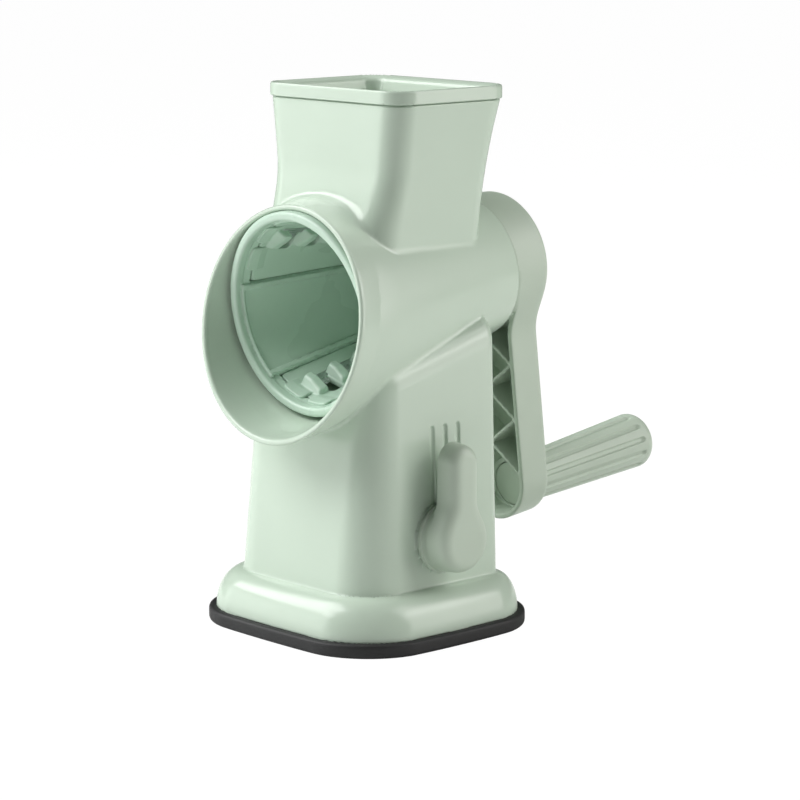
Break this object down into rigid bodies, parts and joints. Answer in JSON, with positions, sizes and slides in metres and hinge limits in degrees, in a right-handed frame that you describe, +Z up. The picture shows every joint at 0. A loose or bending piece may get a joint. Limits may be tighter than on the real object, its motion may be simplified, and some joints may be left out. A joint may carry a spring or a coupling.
{
  "type": "rotary vegetable shredder",
  "caption": "Table-top rotary shredder: hopper with pusher over a conical cutting drum, side crank with fluted grip, and a lever-operated suction foot.",
  "frame": {"origin": "centre of the foot's underside", "axes": "+Z up, the mouth of the drum tube faces -Y, the crank is at +Y and the suction lever at +X"},
  "size_m": [0.1216, 0.2297, 0.23],
  "materials": {
    "mint_gloss": "glossy moulded plastic, pale mint green",
    "mint_satin": "satin moulded plastic, pale mint green",
    "steel": "plain stainless steel",
    "nylon": "natural nylon",
    "rubber": "matt black rubber"
  },
  "bodies": {
    "base": {"housing": "mint_gloss", "rear_bush": "nylon", "lever_bush": "nylon", "base_plate": "nylon", "base_screws": "steel", "suction_foot": "rubber"},
    "crank": {"crank_arm": "mint_satin", "drive_shaft": "steel", "drive_screw": "steel", "hub_cap": "mint_satin", "grip_axle": "mint_satin"},
    "drum": {"drum_frame": "mint_gloss", "cutting_insert_1": "mint_gloss", "cutting_insert_2": "mint_gloss", "cutting_insert_3": "mint_gloss", "blade_strip_1": "steel", "blade_strip_2": "steel", "blade_strip_3": "steel"},
    "grip": {"grip": "mint_satin"},
    "pusher": {"pusher": "mint_gloss"},
    "lever": {"suction_lever": "mint_satin", "lever_shaft": "steel", "lift_cam": "nylon", "cam_screw": "steel"},
    "lift": {"lift_stem": "nylon", "foot_insert": "steel"}
  },
  "joints": [
    {"name": "crank_turn", "type": "hinge", "parent": "base", "child": "crank", "pos_m": [0, 0, 0.1406], "axis": [0, 0.9928, 0.1201], "continuous": true},
    {"name": "drum_pull", "type": "slide", "parent": "crank", "child": "drum", "axis": [0, -0.9928, -0.1201], "range_m": [0, 0.135]},
    {"name": "grip_turn", "type": "hinge", "parent": "crank", "child": "grip", "pos_m": [0, 0.10377, 0.0489], "axis": [0, 0.9928, 0.1201], "continuous": true},
    {"name": "pusher_lift", "type": "slide", "parent": "base", "child": "pusher", "axis": [0, 0, 1], "range_m": [0, 0.05]},
    {"name": "lever_turn", "type": "hinge", "parent": "base", "child": "lever", "pos_m": [0.045, 0.0025, 0.0433], "axis": [1, 0, 0], "range_deg": [0, 90]},
    {"name": "foot_lift", "type": "slide", "parent": "base", "child": "lift", "axis": [0, 0, 1], "range_m": [0, 0.003]}
  ],
  "couplings": [
    {"joint": "foot_lift", "follows": "lever_turn", "m_per_rad": 0.0019}
  ]
}
